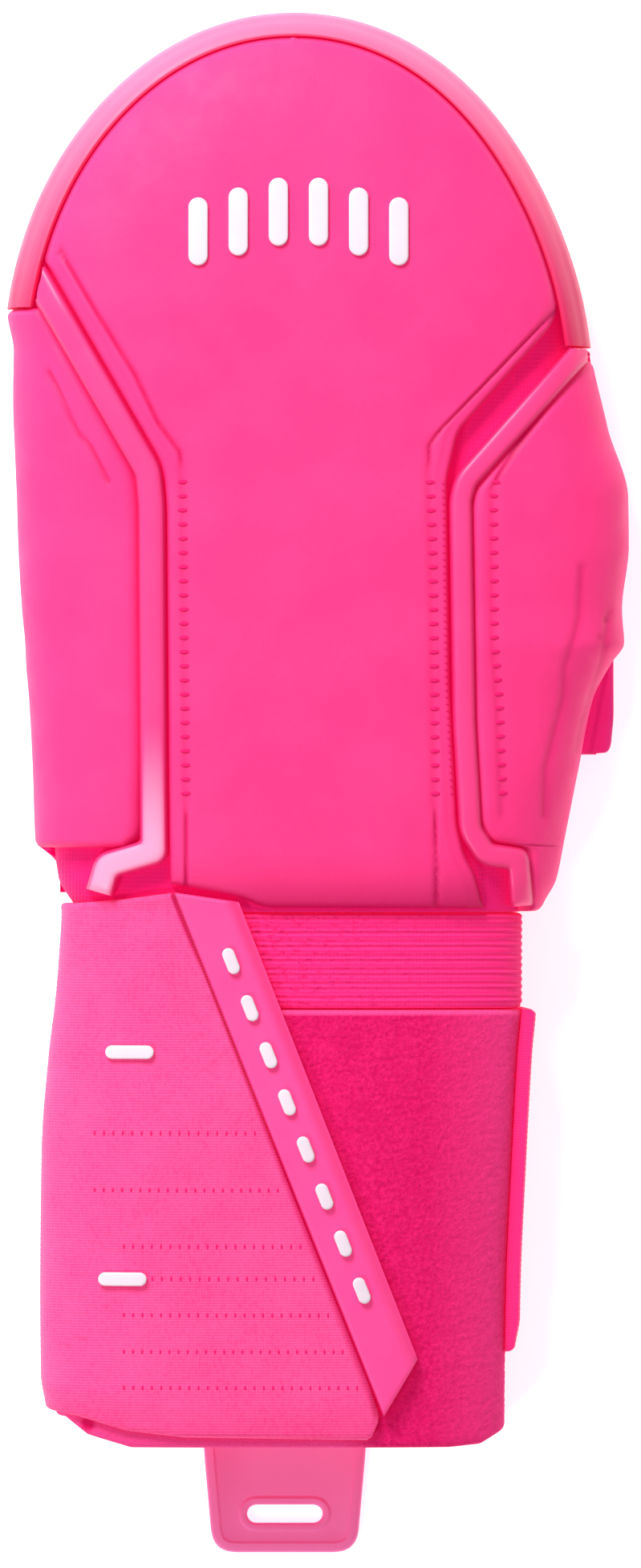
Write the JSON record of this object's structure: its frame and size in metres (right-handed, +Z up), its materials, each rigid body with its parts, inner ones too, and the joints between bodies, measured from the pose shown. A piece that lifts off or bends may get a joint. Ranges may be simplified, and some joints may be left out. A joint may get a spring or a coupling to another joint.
{
  "type": "sliding mitt",
  "caption": "Padded sliding mitt with a round bumper tip, moulded back pads with raised ribs, a knitted wrist band and a loop sleeve wrapped by a wide elastic strap, lying palm down.",
  "frame": {"origin": "middle of the mitt's outline on the surface that it lies on", "axes": "+X towards the thumb, +Y towards the finger tips, +Z up from the palm to the back of the hand"},
  "size_m": [0.1271, 0.3174, 0.0374],
  "materials": {
    "neoprene": "jersey faced neoprene foam, dark pink",
    "palm": "matt synthetic leather with a fine grain, deep pink",
    "pad": "moulded soft foam pad under a matt skin, hot pink",
    "rib": "satin moulded ribs, hot pink",
    "bumper": "smooth moulded rubber, light pink",
    "knit": "ribbed elastic knit",
    "loop": "brushed loop fabric, dark pink",
    "elastic": "wide woven elastic with fine cross rows",
    "tab": "moulded flexible plastic, satin",
    "mark": "raised white moulded pills"
  },
  "bodies": {
    "root": {"hand_pocket": "neoprene", "palm_pad": "palm", "back_panel": "pad", "left_panel": "pad", "thumb_panel": "pad", "left_rib": "rib", "right_rib": "rib", "tip_bumper": "bumper", "thumb_guard": "palm", "wrist_band": "knit", "cuff_sleeve": "loop", "wrist_strap": "elastic", "strap_tab": "tab", "pull_tab": "tab", "emblem_bar_1": "mark", "emblem_bar_2": "mark", "emblem_bar_3": "mark", "emblem_bar_4": "mark", "emblem_bar_5": "mark", "emblem_bar_6": "mark", "tab_mark_1": "mark", "tab_mark_2": "mark", "tab_mark_3": "mark", "tab_mark_4": "mark", "tab_mark_5": "mark", "tab_mark_6": "mark", "tab_mark_7": "mark", "tab_mark_8": "mark", "strap_mark_1": "mark", "strap_mark_2": "mark"}
  },
  "joints": []
}
